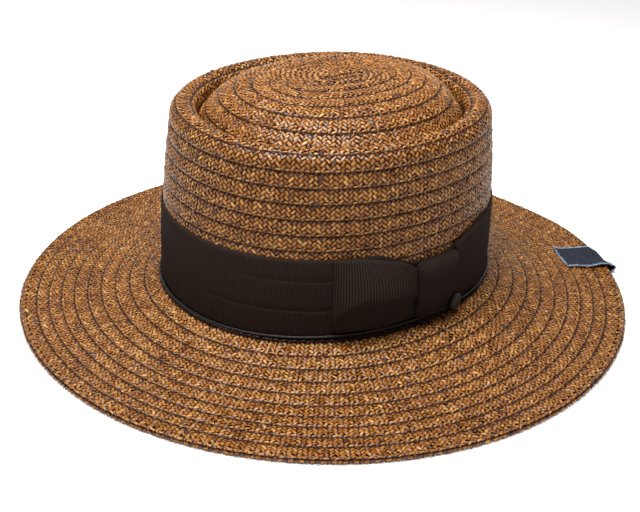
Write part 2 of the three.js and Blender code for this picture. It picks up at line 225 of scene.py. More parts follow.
def wall_size(height):
    share = (height - FOOT_HEIGHT) / (RIM_HEIGHT - RIM_RADIUS - FOOT_HEIGHT)
    swell = CROWN_BULGE * 4 * share * (1 - share)
    width = CROWN_HALF_WIDTH + (TOP_HALF_WIDTH - CROWN_HALF_WIDTH) * share + swell
    length = CROWN_HALF_LENGTH + (TOP_HALF_LENGTH - CROWN_HALF_LENGTH) * share + swell
    return width, length


def at_wall(azimuth, height, out):
    width, length = wall_size(height)
    x, y = on_oval(azimuth, width + out, length + out, CROWN_SQUARENESS)
    return np.stack([x, y, height + CROWN_PITCH * y], axis=-1)


# The crown's profile, from the middle of the tip outwards and down to the foot. Each station
# holds the oval's half width and half length, its height and its shift to the back.
def tip_profile():
    depth = TIP_HEIGHT - (RIM_HEIGHT - GROOVE_DEPTH)
    half_width = TOP_HALF_WIDTH - TIP_INSET
    half_length = TOP_HALF_LENGTH - TIP_INSET
    share = np.linspace(TIP_EYE / half_width, 1, 40)
    widths = half_width * share
    lengths = TIP_SLIT / 2 + (half_length - TIP_SLIT / 2) * share
    heights = TIP_HEIGHT - depth * share ** TIP_FALL
    return np.stack([widths, lengths, heights, TIP_SHIFT * (1 - share)], axis=-1)


def rim_profile():
    angle = np.linspace(math.pi, 0, 24)
    inset = RIM_RADIUS * (1 - np.cos(angle))
    heights = RIM_HEIGHT - RIM_RADIUS + RIM_RADIUS * np.sin(angle)
    crest = np.stack([TOP_HALF_WIDTH - inset, TOP_HALF_LENGTH - inset, heights, 0 * angle], axis=-1)
    down = np.linspace(RIM_HEIGHT - RIM_RADIUS, FOOT_HEIGHT, 50)[1:]
    width, length = wall_size(down)
    wall = np.stack([width, length, down, 0 * down], axis=-1)
    floor_size = (TOP_HALF_WIDTH - GROOVE_INSET, TOP_HALF_LENGTH - GROOVE_INSET)
    return np.concatenate([[(*floor_size, RIM_HEIGHT - GROOVE_DEPTH, 0)], crest, wall])


def arc_lengths(across, up):
    return np.concatenate([[0], np.cumsum(np.hypot(np.diff(across), np.diff(up)))])


TIP = tip_profile()
RIM = rim_profile()
GROOVE = RIM[0]


def ring_point(azimuth, width, length, height, shift):
    x, y = on_oval(azimuth, width, length, CROWN_SQUARENESS)
    return np.stack([x, y + shift, height + CROWN_PITCH * y], axis=-1)


# Gives the arc length of a profile, and a function that finds points on it by that length.
def at_profile(profile):
    arc = arc_lengths(profile[:, 0], profile[:, 2])

    def place(azimuth, distance):
        values = [np.interp(distance, arc, profile[:, column]) for column in range(4)]
        return ring_point(azimuth, *values)

    return arc[-1], place


def smoothstep(value, low, high):
    share = np.clip((value - low) / (high - low), 0, 1)
    return share * share * (3 - 2 * share)


def unit(vectors):
    return vectors / np.linalg.norm(vectors, axis=-1, keepdims=True)


# The face of a surface at each point: its direction round the hat, and its normal.
def surface_frame(place, azimuth, distance, side):
    nudge = 0.002
    round_the_hat = unit(place(azimuth + nudge, distance) - place(azimuth - nudge, distance))
    outwards = place(azimuth, distance + 0.4) - place(azimuth, distance - 0.4)
    normal = unit(np.cross(outwards, round_the_hat)) * side
    return round_the_hat, normal


FLOAT_KIND = 0
EDGE_LONG = 1
EDGE_SHORT = 2
# SEAM_SHADOW floats are near-black strips of painted shadow, laid just outside a free edge.
SEAM_SHADOW = 3


def row_rise(behind, width, lift):
    level = np.clip(1 - behind / np.maximum(width, 1), 0, 1)
    crowned = level + ROW_CROWN * 4 * level * (1 - level)
    return lift * crowned - 0.4 * lift * np.exp(-np.maximum(behind, 0) / 0.7)


# shift along the row in crossings of four, distance behind the free edge, turn and kind
ROW_BORDER = (
    (0.5, 0.55, 0.10, EDGE_LONG),
    (0.0, 0.15, 0.25, EDGE_SHORT),
    (0.25, -0.62, 0.22, SEAM_SHADOW),
    (0.75, -0.62, 0.22, SEAM_SHADOW),
)


# Lays the floats of one turn of the plait. free gives the place of its free edge and width how far
# the row shows behind that edge, both by azimuth. Its floats stay between two places, the limits.
# Floats near the back of the row, under the free edge of the row before, get painted shade, and so do
# those nearer than foot to the surface's inner end.
def lay_row(place, free, width, side, lift, limits, first=1.55, border=ROW_BORDER, foot=0.1):
    fine = np.linspace(SPIRAL_START, SPIRAL_START + 2 * math.pi, 1441)
    track = place(fine, free(fine) - 0.5 * width(fine))
    steps = np.linalg.norm(np.diff(track, axis=0), axis=1)
    walked = np.concatenate([[0], np.cumsum(steps)])
    count = max(int(round(walked[-1] / (4 * CROSSING[0]))), 6)
    lanes = int(math.ceil((width(fine).max() + 1.4) / (2 * CROSSING[1])))
    lean = math.atan2(CROSSING[1], CROSSING[0])
    laid = []
    for lane in range(lanes):
        laid.append((0.0, first + 2 * CROSSING[1] * lane, lean, FLOAT_KIND))
        laid.append((0.5, first + 2 * CROSSING[1] * lane + CROSSING[1], -lean, FLOAT_KIND))
    laid.extend(border)
    parts = []
    drift = rng.uniform(-1.5, 1.5) / count
    for shift, behind, turn, kind in laid:
        share = (np.arange(count) + shift) / count
        walk = (share + drift * np.sin(math.pi * share) ** 2) * walked[-1]
        azimuth = np.interp(walk, walked, fine)
        spot = free(azimuth) - behind
        shown = (behind < width(azimuth) + 0.9) & (spot > limits[0]) & (spot < limits[1])
        shown &= width(azimuth) > 1.0
        rest = np.tile((behind, turn, kind), (count, 1))
        parts.append(np.column_stack([azimuth, rest])[shown])
    azimuth, behind, turn, kind = np.concatenate(parts).T
    edges = free(azimuth)
    widths = width(azimuth)
    round_the_hat, normal = surface_frame(place, azimuth, edges - behind, side)
    inwards = np.cross(normal, round_the_hat) * side
    rise = row_rise(behind, widths, lift)
    slope = (row_rise(behind + 0.3, widths, lift) - row_rise(behind - 0.3, widths, lift)) / 0.6
    slope = np.where(kind == FLOAT_KIND, slope, 0.5 * slope)
    rise = np.where(behind < -0.3, 0.3 * rise, rise)
    rise = np.where(kind == SEAM_SHADOW, 0.45 * lift, rise)
    point = place(azimuth, edges - behind) + normal * rise[:, None]
    normal = unit(normal - slope[:, None] * inwards + rng.normal(0, TILT_SCATTER, (len(azimuth), 3)))
    turn = turn + rng.normal(0, TURN_SCATTER, len(turn))
    along = unit(round_the_hat - normal * np.sum(round_the_hat * normal, axis=1, keepdims=True))
    across = np.cross(normal, along)
    strand = along * np.cos(turn)[:, None] + across * np.sin(turn)[:, None]
    # Painted shade under the overhanging free edge of the row before, and painted contact shadow near the
    # surface's inner end.
    painted_row_shade = smoothstep(behind - widths, -2.8, 0.4) * (kind == FLOAT_KIND)
    painted_row_shade = np.maximum(painted_row_shade, 1 - smoothstep(edges - behind, 0.4 * foot, foot))
    return point, normal, strand, kind, painted_row_shade


def join_rows(rows):
    return [np.concatenate(parts) for parts in zip(*rows)]


# A cloud of points, one for each float, with the direction of its strand and its size and tone.
def float_points(name, laid):
    point, normal, strand, kind, painted_row_shade = laid
    count = len(point)
    size = rng.normal(1, (0.08, 0.08, 0.18), (count, 3))
    size[kind == EDGE_LONG] *= (0.88, 0.80, 1.2)
    size[kind == EDGE_SHORT] *= (0.60, 0.70, 1.1)
    size[kind == SEAM_SHADOW] *= (0.86, 0.74, 0.5)
    size[kind == SEAM_SHADOW, 1] *= rng.uniform(0.55, 1.35, np.count_nonzero(kind == SEAM_SHADOW))
    tone = np.clip(rng.normal(0.53, 0.12, count), 0, 1)
    # The shade mark holds painted shade from the rows and the near-black strips of painted shadow, a few
    # real dark strands, and most short edge floats darkened.
    shade = np.maximum(painted_row_shade, kind == SEAM_SHADOW)
    shade = np.maximum(shade, 0.8 * (rng.random(count) < DARK_SHARE))
    shade = np.maximum(shade, 0.72 * ((kind == EDGE_SHORT) & (rng.random(count) < DARK_EDGE_SHARE)))
    mesh = bpy.data.meshes.new(name)
    mesh.from_pydata((point * 0.001).tolist(), [], [])
    marks = {"normal": normal, "strand": strand, "size": size, "tone": tone, "shade": shade}
    for label, values in marks.items():
        kind, field = ("FLOAT_VECTOR", "vector") if values.ndim == 2 else ("FLOAT", "value")
        layer = mesh.attributes.new(label, kind, "POINT")
        layer.data.foreach_set(field, values.astype(np.float32).ravel())
    return mesh


def calculate(tree, operation, *values):
    return add_node(tree, "ShaderNodeMath", dict(enumerate(values)), operation=operation).outputs[0]


def name_sockets(tree, direction, sockets):
    for label, kind, value in sockets:
        socket = tree.interface.new_socket(label, in_out=direction, socket_type="NodeSocket" + kind)
        if value is not None:
            socket.default_value = value


PLAIT_INPUTS = (
    ("Points", "Geometry", None),
    ("Float Length", "Float", 0.004),
    ("Float Width", "Float", 0.0018),
    ("Bulge", "Float", 0.0003),
    ("Tuck", "Float", 0.0003),
    ("Points Along", "Int", 4),
    ("Straw", "Material", None),
)


# The tree lays one float of straw on each point: a short pad, rounded across, its ends tucked down.
def plait_tree():
    tree = bpy.data.node_groups.new("plait of floats", "GeometryNodeTree")
    name_sockets(tree, "INPUT", PLAIT_INPUTS)
    name_sockets(tree, "OUTPUT", (("Plait", "Geometry", None),))
    given = tree.nodes.new("NodeGroupInput").outputs
    grid = add_node(tree, "GeometryNodeMeshGrid", {
        "Size X": given["Float Length"],
        "Size Y": given["Float Width"],
        "Vertices X": given["Points Along"],
        "Vertices Y": 3,
    }).outputs
    pad = add_node(tree, "GeometryNodeStoreNamedAttribute", data_type="FLOAT2", domain="CORNER")
    set_sockets(tree, pad, {"Name": "UVMap", "Geometry": grid["Mesh"], "Value": grid["UV Map"]})
    place = add_node(tree, "GeometryNodeInputPosition").outputs["Position"]
    split = add_node(tree, "ShaderNodeSeparateXYZ", {"Vector": place}).outputs

    # How far a point lies below the float's crest, on the way to its sides or its ends.
    def fall(axis, extent, power, amount):
        share = calculate(tree, "DIVIDE", split[axis], given[extent])
        from_middle = calculate(tree, "ABSOLUTE", calculate(tree, "MULTIPLY", share, 2))
        return calculate(tree, "MULTIPLY", calculate(tree, "POWER", from_middle, power), given[amount])

    sides = fall("Y", "Float Width", 2, "Bulge")
    ends = fall("X", "Float Length", 3, "Tuck")
    height = calculate(tree, "SUBTRACT", given["Bulge"], calculate(tree, "ADD", sides, ends))
    offset = add_node(tree, "ShaderNodeCombineXYZ", {"Z": height}).outputs["Vector"]
    bent = {"Geometry": pad.outputs["Geometry"], "Offset": offset}
    bent = add_node(tree, "GeometryNodeSetPosition", bent).outputs["Geometry"]
    smooth = add_node(tree, "GeometryNodeSetShadeSmooth", {"Geometry": bent}).outputs["Geometry"]

    def stored(label):
        sockets = {"Name": label}
        read = add_node(tree, "GeometryNodeInputNamedAttribute", sockets, data_type="FLOAT_VECTOR")
        return read.outputs["Attribute"]

    aim = add_node(tree, "FunctionNodeAxesToRotation", primary_axis="Z", secondary_axis="X")
    set_sockets(tree, aim, {"Primary Axis": stored("normal"), "Secondary Axis": stored("strand")})
    lay = add_node(tree, "GeometryNodeInstanceOnPoints", {
        "Points": given["Points"],
        "Instance": smooth,
        "Rotation": aim.outputs["Rotation"],
        "Scale": stored("size"),
    }).outputs["Instances"]
    whole = add_node(tree, "GeometryNodeRealizeInstances", {"Geometry": lay}).outputs["Geometry"]
    dressed = {"Geometry": whole, "Material": given["Straw"]}
    dressed = add_node(tree, "GeometryNodeSetMaterial", dressed).outputs["Geometry"]
    add_node(tree, "NodeGroupOutput", {"Plait": dressed})
    return tree


# Runs a tree on a mesh and keeps its result as a plain mesh.
def grow(name, mesh, tree, settings):
    piece = add_object(name, mesh)
    modifier = piece.modifiers.new("tree", "NODES")
    modifier.node_group = tree
    sockets = {item.name: item.identifier for item in tree.interface.items_tree if item.in_out == "INPUT"}
    for label, value in settings.items():
        modifier[sockets[label]] = value
    bpy.context.view_layer.update()
    seen = piece.evaluated_get(bpy.context.evaluated_depsgraph_get())
    result = bpy.data.meshes.new_from_object(seen)
    result.name = name
    piece.modifiers.clear()
    piece.data = result
    return piece


def uv_place(tree):
    return add_node(tree, "ShaderNodeUVMap", uv_map="UVMap").outputs["UV"]


def object_place(tree):
    return add_node(tree, "ShaderNodeTexCoord").outputs["Object"]


def mark(tree, name):
    return add_node(tree, "ShaderNodeAttribute", attribute_name=name).outputs["Fac"]


def noise(tree, place, scale, detail=2, distortion=0):
    sockets = {"Vector": place, "Scale": scale, "Detail": detail, "Distortion": distortion}
    return add_node(tree, "ShaderNodeTexNoise", sockets).outputs["Fac"]


def mix_colours(tree, blend, factor, first, second):
    sockets = {"Factor": factor, "A": first, "B": second}
    return add_node(tree, "ShaderNodeMix", sockets, data_type="RGBA", blend_type=blend).outputs["Result"]


# Each stop is a place along the ramp and a colour there.
def colour_ramp(tree, value, *stops):
    ramp = add_node(tree, "ShaderNodeValToRGB", {"Fac": value})
    elements = ramp.color_ramp.elements
    for element, (place, colour) in zip(elements, (stops[0], stops[-1])):
        element.position = place
        element.color = (*colour, 1)
    for place, colour in stops[1:-1]:
        elements.new(place).color = (*colour, 1)
    return ramp.outputs["Color"]


def bump(tree, height, strength, distance):
    sockets = {"Height": height, "Strength": strength, "Distance": distance}
    return add_node(tree, "ShaderNodeBump", sockets).outputs["Normal"]


STRAW_DEEP = (0.165, 0.054, 0.0105)
STRAW_CARAMEL = (0.415, 0.168, 0.035)
STRAW_PALE = (0.78, 0.425, 0.125)
STRAW_FIBRE = (0.5, 0.42, 0.36, 1)
STRAW_PAINTED_GAP_SHADE = (0.10, 0.055, 0.04, 1)
STRAW_DARK_STRANDS_AND_SHADE = (0.030, 0.016, 0.018, 1)


# Straw: a caramel base with fine fibres along each float, painted shade at each float's sides and ends
# where it tucks under the next, painted shade where the points' shade mark says, and a few purple-black
# strands.
def straw_material():
    straw, tree = new_material("toyo straw")
    uv = uv_place(tree)
    place = object_place(tree)
    patches = noise(tree, place, scale=28, detail=3)
    lowered = calculate(tree, "SUBTRACT", mark(tree, "tone"), 0.15)
    mixed = calculate(tree, "MULTIPLY_ADD", patches, 0.3, lowered)
    colour = colour_ramp(tree, mixed, (0.1, STRAW_DEEP), (0.5, STRAW_CARAMEL), (0.9, STRAW_PALE))
    stretched = add_node(tree, "ShaderNodeMapping", {"Vector": uv, "Scale": (2, 9, 1)}).outputs["Vector"]
    moved = {0: place, 1: (400, 400, 400), 2: stretched}
    moved = add_node(tree, "ShaderNodeVectorMath", moved, operation="MULTIPLY_ADD").outputs["Vector"]
    fibres = noise(tree, moved, scale=1)
    between_fibres = map_range(tree, fibres, (0.62, 0.4), kind="LINEAR")
    colour = mix_colours(tree, "MULTIPLY", between_fibres, colour, STRAW_FIBRE)
    parts = add_node(tree, "ShaderNodeSeparateXYZ", {"Vector": uv}).outputs
    # Painted shade at each float's sides and ends, where it tucks under its neighbours.
    painted_gap_shade = []
    for axis, start in (("X", 0.24), ("Y", 0.16)):
        from_middle = calculate(tree, "ABSOLUTE", calculate(tree, "SUBTRACT", parts[axis], 0.5))
        painted_gap_shade.append(map_range(tree, from_middle, (start, 0.48)))
    colour = mix_colours(tree, "MULTIPLY", calculate(tree, "MAXIMUM", *painted_gap_shade), colour, STRAW_PAINTED_GAP_SHADE)
    # Near black where the shade mark says: painted shade near seams and the crown's foot, and the real
    # purple-black strands.
    painted_shade_and_strands = calculate(tree, "MULTIPLY", mark(tree, "shade"), 0.92)
    colour = mix_colours(tree, "MIX", painted_shade_and_strands, colour, STRAW_DARK_STRANDS_AND_SHADE)
    set_shader(tree, {
        "Base Color": colour,
        "Roughness": map_range(tree, fibres, (0, 1), (0.22, 0.38), "LINEAR"),
        "Specular IOR Level": 0.28,
        "Normal": bump(tree, fibres, strength=0.35, distance=0.0001),
    })
    return straw


# The under-layer of straw, seen only in the gaps between floats, painted near black as shade. The strips
# of painted shadow outside the free edges use it too.
def shaded_straw_material():
    shaded, tree = new_material("shaded straw")
    grain = noise(tree, object_place(tree), scale=700)
    set_shader(tree, {
        "Base Color": colour_ramp(tree, grain, (0, (0.012, 0.006, 0.004)), (1, (0.05, 0.024, 0.012))),
        "Roughness": 0.8,
        "Specular IOR Level": 0.05,
    })
    return shaded


# Skins a grid of points, which may have a UV in millimetres for each. The grid may close on itself
# in either direction, and its open ends may be capped.
def skin(name, points, uvs, material, closed_rows, closed_columns, capped=False):
    points = np.asarray(points)
    many, count, _ = points.shape
    cells = []
    for i in range(many if closed_rows else many - 1):
        for j in range(count if closed_columns else count - 1):
            cells.append([(i, j), (i, j + 1), (i + 1, j + 1), (i + 1, j)])
    if capped:
        cells.append([(0, j) for j in reversed(range(count))])
        cells.append([(many - 1, j) for j in range(count)])
    faces = [[(i % many) * count + j % count for i, j in cell] for cell in cells]
    mesh = bpy.data.meshes.new(name)
    mesh.from_pydata((points.reshape(-1, 3) * 0.001).tolist(), [], faces)
    mesh.materials.append(material)
    if uvs is not None:
        uvs = np.asarray(uvs)
        corners = [uvs[spot] for cell in cells for spot in cell]
        layer = mesh.uv_layers.new(name="UVMap")
        layer.data.foreach_set("uv", np.asarray(corners, dtype=np.float32).ravel())
    mesh.polygons.foreach_set("use_smooth", [True] * len(mesh.polygons))
    return add_object(name, mesh)


toyo_straw = straw_material()
shaded_straw = shaded_straw_material()
plait = plait_tree()
settings = {
    "Float Length": FLOAT_LENGTH * 0.001,
    "Float Width": FLOAT_WIDTH * 0.001,
    "Bulge": FLOAT_BULGE * 0.001,
    "Tuck": 0.00034,
    "Points Along": 4,
    "Straw": toyo_straw,
}

rng = np.random.default_rng(11)


# Grows the floats of some rows, and apart from them the near-black strips of painted shadow just outside
# the free edges.
def grow_rows(name, rows, settings):
    laid = join_rows(rows)
    outside_edge = laid[3] == SEAM_SHADOW
    floats = grow(name, float_points(name, [part[~outside_edge] for part in laid]), plait, settings)
    seam_shadow_settings = {**settings, "Straw": shaded_straw}
    seam_shadow_points = float_points(name + "_seam_shadow_strips", [part[outside_edge] for part in laid])
    return floats, grow(name + "_seam_shadow_strips", seam_shadow_points, plait, seam_shadow_settings)


around = np.linspace(0, 2 * math.pi, 180, endpoint=False)


def turn_share(azimuth):
    return (azimuth - SPIRAL_START) / (2 * math.pi)


# Wall rows stay level where they are seen and drop by a row at the back of the hat.
def level_share(azimuth):
    degrees = np.degrees(azimuth)
    drop = np.clip((degrees - 165) / 65, 0, 1)
    return 0.1 * turn_share(azimuth) + 0.9 * drop ** 2 * (3 - 2 * drop)


tip_length, tip_place = at_profile(TIP)
wall_length, rim_place = at_profile(RIM)
tip_pitch = tip_length / (TIP_ROWS + TIP_PHASE - 0.05)


def tip_edge(turn, azimuth, least=2.6):
    return np.clip((turn + TIP_PHASE + turn_share(azimuth)) * tip_pitch, least, tip_length)


def tip_width(turn, azimuth):
    return tip_edge(turn, azimuth) - tip_edge(turn - 1, azimuth, 0.4)


def wall_edge(turn, azimuth):
    return np.clip(RIM_FIRST + (turn + level_share(azimuth)) * RIM_ROW, 0.5, wall_length)


def wall_width(turn, azimuth):
    return np.minimum(RIM_ROW, wall_edge(turn, azimuth))


# Lays some turns on a surface's outer face (side 1) or inner face (side -1).
def lay_rows(place, free, width, side, lift, turns, limits, **row):
    rows = []
    for turn in turns:
        edge = partial(free, turn)
        rows.append(lay_row(place, edge, partial(width, turn), side, lift, limits, **row))
    return rows


# The plait starts as a short straight length, laid over the slit in the middle of the tip.
def tip_start(surface, side_up):
    lean = math.atan2(CROSSING[1], CROSSING[0])
    parts = []
    # place across the slit, shift along it, turn, kind and height
    laid = (
        (-1.2, 0.0, -lean, FLOAT_KIND, 0.5),
        (1.2, 0.5, lean, FLOAT_KIND, 0.5),
        (-2.7, 0.5, 0.2, SEAM_SHADOW, 0.6),
        (2.7, 0.0, -0.2, SEAM_SHADOW, 0.6),
    )
    for side, first, lie, kind, height in laid:
        walk = TIP_SHIFT + 2 * CROSSING[0] * (np.arange(-5.5, 5.5) + first)
        level = np.full(len(walk), 1.0)
        parts.append(np.column_stack([side * level, walk, lie * level, kind * level, height * level]))
    across, along, turn, kind, height = np.concatenate(parts).T
    turn = turn + rng.normal(0, TURN_SCATTER, len(turn))
    still = np.zeros(len(turn))
    level = TIP_HEIGHT + surface + side_up * height + CROWN_PITCH * along
    point = np.column_stack([across, along, level])
    normal = np.column_stack([0.12 * across, still, still + 1]) + rng.normal(0, 0.08, (len(turn), 3))
    normal = unit(normal) * (1, 1, side_up)
    strand = np.column_stack([np.sin(turn), np.cos(turn), still])
    strand = unit(strand - normal * np.sum(strand * normal, axis=1, keepdims=True))
    return point, normal, strand, kind, still


limits = (0.6, tip_length + 0.3)
rows = lay_rows(tip_place, tip_edge, tip_width, 1, ROW_LIFT, range(-1, TIP_ROWS + 1), limits)
rows.append(tip_start(0, 1))
crown_pieces = list(grow_rows("crown_tip_plait", rows, settings))
limits = (0.4, wall_length - 1)
rows = lay_rows(rim_place, wall_edge, wall_width, 1, ROW_LIFT, range(0, 10), limits, foot=RIM_SHADE)
crown_pieces.extend(grow_rows("crown_wall_plait", rows, settings))


def lifted(place, side, depth):
    def inset(azimuth, distance):
        _, normal = surface_frame(place, azimuth, distance, side)
        return place(azimuth, distance) + normal * depth

    return inset


# Inside the crown and under the brim the same rows show their plainer side.
INSIDE_LIFT = 0.15
inner_depth = WEAVE_DEPTH - STRAW
inside_settings = {**settings, "Points Along": 3, "Bulge": 0.0002}
wall_inside = lifted(rim_place, 1, inner_depth)


def tip_inside(azimuth, distance):
    return tip_place(azimuth, distance) + np.array([0, 0, inner_depth - 0.1])


limits = (14.0, wall_length - 1.5)
rows = lay_rows(wall_inside, wall_edge, wall_width, -1, INSIDE_LIFT, range(1, 13), limits, foot=RIM_SHADE)
crown_pieces.extend(grow_rows("crown_wall_plait_inside", rows, inside_settings))
limits = (0.6, tip_length - 2.5)
rows = lay_rows(tip_inside, tip_edge, tip_width, -1, INSIDE_LIFT, range(0, TIP_ROWS + 1), limits)
rows.append(tip_start(inner_depth + 0.3, -1))
crown_pieces.extend(grow_rows("crown_tip_plait_inside", rows, inside_settings))


def rings_at(place, distances):
    return [place(around, np.full_like(around, distance)) for distance in distances]


rings = rings_at(lifted(tip_place, 1, -WEAVE_DEPTH), np.linspace(0.6, tip_length - 0.6, 18))
rings.append(ring_point(around, *(GROOVE - np.array([0, 0, 0.5, 0]))))
down_the_wall = np.concatenate([np.linspace(2.0, 23, 14), np.linspace(25, wall_length - 0.5, 16)])
rings.extend(rings_at(lifted(rim_place, 1, -WEAVE_DEPTH), down_the_wall))
rings.extend(rings_at(wall_inside, np.linspace(wall_length - 0.5, 11.5, 14)))
rings.append(ring_point(around, *(GROOVE + np.array([0.8, 0.8, -STRAW + 0.2, 0]))))
for ring in rings_at(tip_place, np.linspace(tip_length - 2, 1.0, 12)):
    rings.append(ring + np.array([0, 0, -STRAW + 0.3]))
crown_pieces.append(skin("crown_shell", rings, None, shaded_straw, False, True, capped=True))

for piece in crown_pieces:
    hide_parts("crown")
    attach(piece, "root")


# The brim.
# The same plait goes on round the foot of the crown to the brim's edge, where the last row
# is laid double and folded. The brim leaves the crown steeply and is nearly level at its edge.

BRIM_HALF_WIDTH = 182.9
BRIM_HALF_LENGTH = 186.2
BRIM_REACH = BRIM_HALF_WIDTH - CROWN_HALF_WIDTH
BRIM_FALL = 2.4
BRIM_STATIONS = 60
EDGE_STATIONS = 9
CLEARANCE = 0.3
TAB_AZIMUTH = math.radians(157.3)
TAB_LIFT = 1.9


def at_brim(azimuth, share, up):
    inner_x, inner_y = on_oval(azimuth, CROWN_HALF_WIDTH, CROWN_HALF_LENGTH, CROWN_SQUARENESS)
    outer_x, outer_y = on_oval(azimuth, BRIM_HALF_WIDTH, BRIM_HALF_LENGTH, 2)
    foot = FOOT_HEIGHT - CLEARANCE - STRAW + CROWN_PITCH * inner_y
    away = np.abs((azimuth - TAB_AZIMUTH + math.pi) % (2 * math.pi) - math.pi)
    near_tab = 1 - smoothstep(away, math.radians(10), math.radians(30))
    tab_raise = TAB_LIFT * near_tab * smoothstep(share, 0.45, 0.8)
    z = foot * np.maximum(1 - share, 0) ** BRIM_FALL + tab_raise + up
    x = inner_x + (outer_x - inner_x) * share
    y = inner_y + (outer_y - inner_y) * share
    return np.stack([x, y, z], axis=-1)


def beside(walk, value):
    return np.stack([walk, np.full_like(walk, value)], axis=-1)


# The brim's profile runs from the crown outwards on top, round the edge, and back underneath.
def brim_profile():
    top = STRAW - WEAVE_DEPTH
    under = WEAVE_DEPTH
    outwards = np.linspace(BRIM_REACH, 2.0, BRIM_STATIONS)
    turn = np.radians(np.linspace(80, -80, EDGE_STATIONS))
    middle = 0.5 * (top + under) + 0.2
    radius = 0.5 * (top - under) + 0.25
    edge = np.stack([0.45 + radius * (1 - np.cos(turn)), middle + radius * np.sin(turn)], axis=-1)
    inwards = np.linspace(2.0, BRIM_REACH, BRIM_STATIONS)
    return np.concatenate([beside(outwards, top), edge, beside(inwards, under)])


BRIM = brim_profile()
brim_arc = arc_lengths(BRIM[:, 0], BRIM[:, 1])
brim_edge_arc = float(brim_arc[BRIM_STATIONS + EDGE_STATIONS // 2])


def brim_place(azimuth, distance):
    from_edge = np.interp(distance, brim_arc, BRIM[:, 0])
    up = np.interp(distance, brim_arc, BRIM[:, 1])
    return at_brim(azimuth, 1 - from_edge / BRIM_REACH, up)


def brim_seam(turns):
    return 7.8 + 7.4 * turns + 0.15 * turns ** 2 + np.cos(2 * math.pi * (turns - 0.25))


# The last row is folded over the edge, so its strands lie along the edge there.
EDGE_BORDER = (
    (0.10, -0.7, 0.10, EDGE_LONG),
    (0.60, -0.7, -0.25, EDGE_SHORT),
    (0.25, 0.3, 0.08, EDGE_LONG),
    (0.75, 0.3, 0.30, EDGE_SHORT),
    (0.50, 1.2, 0.12, EDGE_LONG),
    (0.00, 1.2, -0.30, EDGE_SHORT),
    (0.15, 2.1, 0.15, EDGE_LONG),
    (0.65, 2.1, -0.30, EDGE_SHORT),
    (0.50, 2.9, 0.00, SEAM_SHADOW),
)
EDGE_FIRST_LANE = 4.0
# how far from the crown's foot the brim's floats get painted contact shadow
FOOT_SHADE = 4.2
BRIM_TUCK = -0.017


def brim_below(azimuth, distance):
    return brim_place(azimuth, 2 * brim_edge_arc - distance)


def from_brim_edge(turn, azimuth):
    return np.where(turn < 0, 0, brim_seam(np.maximum(turn + turn_share(azimuth), 0)))


def brim_edge(turn, azimuth):
    return brim_edge_arc - from_brim_edge(turn, azimuth)


def brim_width(turn, azimuth):
    here = from_brim_edge(turn, azimuth)
    return np.minimum(brim_seam(turn + 1 + turn_share(azimuth)) - here, BRIM_REACH - here)


def brim_rows(place, side, lift, turns, **row):
    limits = (0.5, brim_edge_arc + 1.5)
    return lay_rows(place, brim_edge, brim_width, side, lift, turns, limits, **row)


folded = {"first": EDGE_FIRST_LANE, "border": EDGE_BORDER}


rows = brim_rows(brim_place, 1, ROW_LIFT, [-1], **folded)
rows.extend(brim_rows(brim_place, 1, ROW_LIFT, range(0, 4), foot=FOOT_SHADE))
brim_pieces = list(grow_rows("brim_plait_outer", rows, settings))
rows = brim_rows(brim_place, 1, ROW_LIFT, range(4, 10), foot=FOOT_SHADE)
brim_pieces.extend(grow_rows("brim_plait_inner", rows, settings))
rows = brim_rows(brim_below, -1, INSIDE_LIFT, [-1], **folded)
rows.extend(brim_rows(brim_below, -1, INSIDE_LIFT, range(0, 10), foot=FOOT_SHADE))
brim_pieces.extend(grow_rows("brim_plait_under", rows, inside_settings))

# The shell reaches in under the crown's wall, and no light comes through between them.
rings = [at_brim(around, BRIM_TUCK, STRAW)]
on_top = np.linspace(0, brim_arc[BRIM_STATIONS - 1], 24)
round_edge = brim_arc[BRIM_STATIONS + 1:BRIM_STATIONS + EDGE_STATIONS - 1:2]
underneath = np.linspace(brim_arc[BRIM_STATIONS + EDGE_STATIONS], brim_arc[-1], 20)
rings.extend(rings_at(brim_place, np.concatenate([on_top, round_edge, underneath])))
rings.append(at_brim(around, BRIM_TUCK, WEAVE_DEPTH))
brim_pieces.append(skin("brim_shell", rings, None, shaded_straw, True, True))

for piece in brim_pieces:
    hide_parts("brim")
    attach(piece, "root")


# The ribbon.
# A dark ribbed ribbon goes once round the foot of the crown, sewn down at its edges. Two pleats
# are laid in it beside the bow, and fade towards the front of the hat.

RIBBON_FOOT = 17.2
BAND_IN = 1.2
BAND_OUT = 2.2
PLEAT_DEPTH = 0.75
PLEAT_WIDTH = 2.6
PLEATS = ((0.73, 12), (0.36, -6))
PINCH_DEPTH = 9.0
PINCH_FROM = 0.79
PINCH_START = (70, 89)
PINCH_END = (98, 122)
RIB_PITCH = 1.2
KNOT_AZIMUTH = math.radians(96)
KNOT_WIDTH = 28
RIBBON_COLOUR = (0.030, 0.0195, 0.0155)
RIBBON_SHADE = (0.008, 0.0056, 0.0046)


def ribbon_height(share):
    return RIBBON_FOOT + (RIBBON_TOP - RIBBON_FOOT) * share


